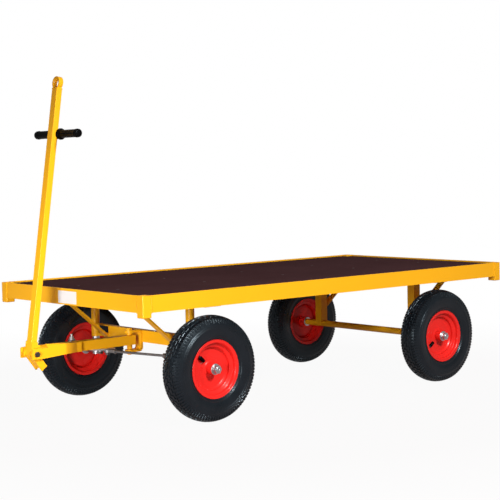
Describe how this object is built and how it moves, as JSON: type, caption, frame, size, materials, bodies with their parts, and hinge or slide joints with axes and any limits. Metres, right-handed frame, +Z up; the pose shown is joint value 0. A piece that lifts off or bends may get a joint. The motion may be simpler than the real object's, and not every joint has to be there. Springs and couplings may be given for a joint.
{
  "type": "hand cart",
  "caption": "Flat-bed hand cart with a steel-angle deck frame, pneumatic wheels and a T-handle drawbar that steers the front wheels through tie rods.",
  "frame": {"origin": "on the ground, under the middle of the cart's overall length and width", "axes": "+X forward to the drawbar, +Y to the cart's left, +Z up"},
  "size_m": [2.225, 1, 1.3373],
  "materials": {
    "yellow_paint": "glossy powder coat",
    "red_paint": "glossy paint",
    "deck_brown": "dark film-faced plywood, satin",
    "tyre_black": "moulded rubber",
    "grip_black": "moulded grip",
    "zinc_plate": "zinc plate"
  },
  "bodies": {
    "chassis": {"front_rail": "yellow_paint", "rear_rail": "yellow_paint", "left_rail": "yellow_paint", "right_rail": "yellow_paint", "front_corner_posts": "yellow_paint", "rear_corner_posts": "yellow_paint", "deck_panel": "deck_brown", "deck_screws": "zinc_plate", "deck_bearers": "yellow_paint", "bolsters": "yellow_paint", "front_beam": "yellow_paint", "left_kingpin_tube": "yellow_paint", "right_kingpin_tube": "yellow_paint", "front_braces": "yellow_paint", "pivot_bracket": "yellow_paint", "drawbar_pin": "yellow_paint", "rear_legs": "yellow_paint", "rear_braces": "yellow_paint", "rear_axle": "yellow_paint", "axle_nuts": "zinc_plate"},
    "drawbar": {"drawbar_tube": "yellow_paint", "drawbar_bush": "yellow_paint", "fork_plates": "yellow_paint", "steering_lug": "zinc_plate", "drawbar_bolts": "zinc_plate", "handle_nut": "zinc_plate"},
    "handle": {"handle_tube": "yellow_paint", "heel_stub": "yellow_paint", "handle_foot": "yellow_paint", "tow_eye": "yellow_paint", "tee_bar": "yellow_paint", "left_grip": "grip_black", "right_grip": "grip_black"},
    "left_steering": {"left_king_pin": "zinc_plate", "left_knuckle": "zinc_plate", "left_stub_axle": "zinc_plate", "left_knuckle_nuts": "zinc_plate"},
    "right_steering": {"right_king_pin": "zinc_plate", "right_knuckle": "zinc_plate", "right_stub_axle": "zinc_plate", "right_knuckle_nuts": "zinc_plate"},
    "left_rod": {"left_tie_rod": "zinc_plate"},
    "right_rod": {"right_tie_rod": "zinc_plate"},
    "front_left_wheel": {"front_left_tyre": "tyre_black", "front_left_inner_tube": "tyre_black", "front_left_rim": "red_paint", "front_left_hub": "zinc_plate"},
    "front_right_wheel": {"front_right_tyre": "tyre_black", "front_right_inner_tube": "tyre_black", "front_right_rim": "red_paint", "front_right_hub": "zinc_plate"},
    "rear_left_wheel": {"rear_left_tyre": "tyre_black", "rear_left_inner_tube": "tyre_black", "rear_left_rim": "red_paint", "rear_left_hub": "zinc_plate"},
    "rear_right_wheel": {"rear_right_tyre": "tyre_black", "rear_right_inner_tube": "tyre_black", "rear_right_rim": "red_paint", "rear_right_hub": "zinc_plate"}
  },
  "joints": [
    {"name": "drawbar_steer", "type": "hinge", "parent": "chassis", "child": "drawbar", "pos_m": [0.6305, 0, 0.28], "axis": [0, 0, 1], "range_deg": [-28, 28]},
    {"name": "handle_tilt", "type": "hinge", "parent": "drawbar", "child": "handle", "pos_m": [1.0935, 0, 0.278], "axis": [0, 1, 0], "range_deg": [-15, 100]},
    {"name": "left_knuckle_steer", "type": "hinge", "parent": "chassis", "child": "left_steering", "pos_m": [0.5725, 0.327, 0.206], "axis": [0, 0, 1], "range_deg": [-32.5, 32.5]},
    {"name": "right_knuckle_steer", "type": "hinge", "parent": "chassis", "child": "right_steering", "pos_m": [0.5725, -0.327, 0.206], "axis": [0, 0, 1], "range_deg": [-32.5, 32.5]},
    {"name": "left_rod_swing", "type": "hinge", "parent": "drawbar", "child": "left_rod", "pos_m": [0.7555, 0.025, 0.2547], "axis": [0, 0, 1], "range_deg": [-28, 28]},
    {"name": "right_rod_swing", "type": "hinge", "parent": "drawbar", "child": "right_rod", "pos_m": [0.7555, -0.025, 0.2547], "axis": [0, 0, 1], "range_deg": [-28, 28]},
    {"name": "front_left_roll", "type": "hinge", "parent": "left_steering", "child": "front_left_wheel", "pos_m": [0.5725, 0.4415, 0.206], "axis": [0, 1, 0], "continuous": true},
    {"name": "front_right_roll", "type": "hinge", "parent": "right_steering", "child": "front_right_wheel", "pos_m": [0.5725, -0.4415, 0.206], "axis": [0, 1, 0], "continuous": true},
    {"name": "rear_left_roll", "type": "hinge", "parent": "chassis", "child": "rear_left_wheel", "pos_m": [-0.7375, 0.4415, 0.206], "axis": [0, 1, 0], "continuous": true},
    {"name": "rear_right_roll", "type": "hinge", "parent": "chassis", "child": "rear_right_wheel", "pos_m": [-0.7375, -0.4415, 0.206], "axis": [0, 1, 0], "continuous": true}
  ],
  "couplings": [
    {"joint": "left_knuckle_steer", "follows": "drawbar_steer", "ratio": 1.1531},
    {"joint": "right_knuckle_steer", "follows": "drawbar_steer", "ratio": 1.1531},
    {"joint": "left_rod_swing", "follows": "drawbar_steer", "ratio": -0.9902},
    {"joint": "right_rod_swing", "follows": "drawbar_steer", "ratio": -0.9902}
  ]
}
